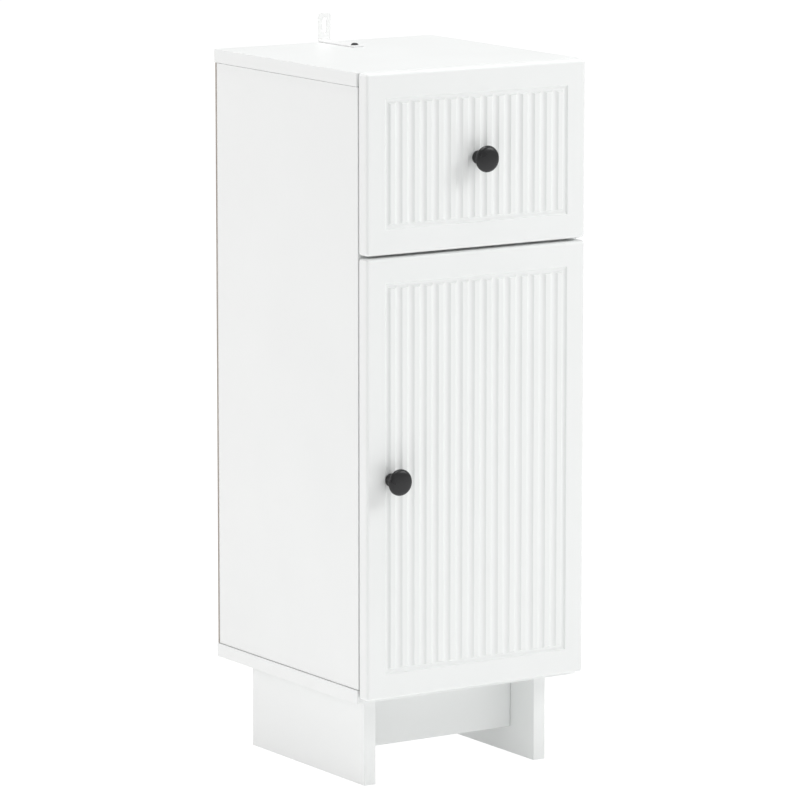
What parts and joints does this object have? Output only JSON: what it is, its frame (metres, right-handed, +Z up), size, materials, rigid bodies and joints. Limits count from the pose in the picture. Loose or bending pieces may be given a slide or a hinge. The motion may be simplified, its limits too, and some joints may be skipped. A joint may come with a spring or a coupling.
{
  "type": "bathroom vanity cabinet",
  "caption": "Narrow white floor cabinet with a drawer over a door, fluted fronts, round black knobs, board legs and a wall strap.",
  "frame": {"origin": "on the floor, in the middle of the width and midway between the knobs' front faces and the cabinet's back", "axes": "+X to the right as seen from the front, +Y towards the back, +Z up"},
  "size_m": [0.285, 0.3326, 0.812],
  "materials": {
    "white_board": "white melamine and foil coat, satin",
    "hardboard": "raw hardboard edge, white inside face",
    "zinc_plate": "zinc or nickel plate",
    "white_paint": "white powder coat",
    "black_coat": "black satin coat",
    "white_nylon": "moulded, satin",
    "clear_rubber": "soft, clear"
  },
  "bodies": {
    "cabinet": {"back_panel": "hardboard", "bottom_panel": "white_board", "cam_lock_left_front_bottom": "zinc_plate", "cam_lock_left_front_top": "zinc_plate", "cam_lock_left_rear_bottom": "zinc_plate", "cam_lock_left_rear_top": "zinc_plate", "cam_lock_right_front_bottom": "zinc_plate", "cam_lock_right_front_top": "zinc_plate", "cam_lock_right_rear_bottom": "zinc_plate", "cam_lock_right_rear_top": "zinc_plate", "case_rail_left": "zinc_plate", "case_rail_right": "zinc_plate", "drawer_divider": "white_board", "hinge_arm_lower": "zinc_plate", "hinge_arm_upper": "zinc_plate", "hinge_plate_lower": "zinc_plate", "hinge_plate_upper": "zinc_plate", "leg_board_left": "white_board", "leg_board_right": "white_board", "leg_cam_left_front": "zinc_plate", "leg_cam_left_rear": "zinc_plate", "leg_cam_right_front": "zinc_plate", "leg_cam_right_rear": "zinc_plate", "plinth_stretcher": "white_board", "shelf": "white_board", "shelf_pin_front_left": "zinc_plate", "shelf_pin_front_right": "zinc_plate", "shelf_pin_rear_left": "zinc_plate", "shelf_pin_rear_right": "zinc_plate", "side_panel_left": "white_board", "side_panel_right": "white_board", "top_panel": "white_board", "wall_strap": "white_paint", "wall_strap_screw": "black_coat"},
    "drawer": {"drawer_back": "white_board", "drawer_bottom": "white_board", "drawer_bumper_left": "clear_rubber", "drawer_bumper_right": "clear_rubber", "drawer_front": "white_board", "drawer_knob": "black_coat", "drawer_knob_screw": "zinc_plate", "drawer_rail_left": "zinc_plate", "drawer_rail_right": "zinc_plate", "drawer_side_left": "white_board", "drawer_side_right": "white_board"},
    "door": {"door_bumper_lower": "clear_rubber", "door_bumper_upper": "clear_rubber", "door_knob": "black_coat", "door_knob_screw": "zinc_plate", "door_panel": "white_board", "hinge_cup_lower": "zinc_plate", "hinge_cup_upper": "zinc_plate"},
    "hinge_links": {"hinge_link_lower": "zinc_plate", "hinge_link_upper": "zinc_plate"},
    "case_roller_left_wheel": {"case_roller_left": "white_nylon"},
    "case_roller_right_wheel": {"case_roller_right": "white_nylon"},
    "drawer_roller_left_wheel": {"drawer_roller_left": "white_nylon"},
    "drawer_roller_right_wheel": {"drawer_roller_right": "white_nylon"}
  },
  "joints": [
    {"name": "drawer_slide", "type": "slide", "parent": "cabinet", "child": "drawer", "axis": [0, -1, 0], "range_m": [0, 0.19]},
    {"name": "door_hinge", "type": "hinge", "parent": "cabinet", "child": "door", "pos_m": [0.1345, -0.13675, 0.3429], "axis": [0, 0, 1], "range_deg": [0, 100]},
    {"name": "hinge_link_turn", "type": "hinge", "parent": "cabinet", "child": "hinge_links", "pos_m": [0.1205, -0.12675, 0.3429], "axis": [0, 0, 1], "range_deg": [0, 82]},
    {"name": "case_roller_left_spin", "type": "hinge", "parent": "cabinet", "child": "case_roller_left_wheel", "pos_m": [-0.1202, -0.11175, 0.6125], "axis": [1, 0, 0], "range_deg": [0, 1150]},
    {"name": "drawer_roller_left_spin", "type": "hinge", "parent": "drawer", "child": "drawer_roller_left_wheel", "pos_m": [-0.1202, 0.11225, 0.615], "axis": [1, 0, 0], "range_deg": [0, 1150]},
    {"name": "case_roller_right_spin", "type": "hinge", "parent": "cabinet", "child": "case_roller_right_wheel", "pos_m": [0.1202, -0.11175, 0.6125], "axis": [1, 0, 0], "range_deg": [0, 1150]},
    {"name": "drawer_roller_right_spin", "type": "hinge", "parent": "drawer", "child": "drawer_roller_right_wheel", "pos_m": [0.1202, 0.11225, 0.615], "axis": [1, 0, 0], "range_deg": [0, 1150]}
  ],
  "couplings": [
    {"joint": "hinge_link_turn", "follows": "door_hinge", "ratio": 0.817},
    {"joint": "case_roller_left_spin", "follows": "drawer_slide", "rad_per_m": 105.26},
    {"joint": "drawer_roller_left_spin", "follows": "drawer_slide", "rad_per_m": 105.26},
    {"joint": "case_roller_right_spin", "follows": "drawer_slide", "rad_per_m": 105.26},
    {"joint": "drawer_roller_right_spin", "follows": "drawer_slide", "rad_per_m": 105.26}
  ]
}
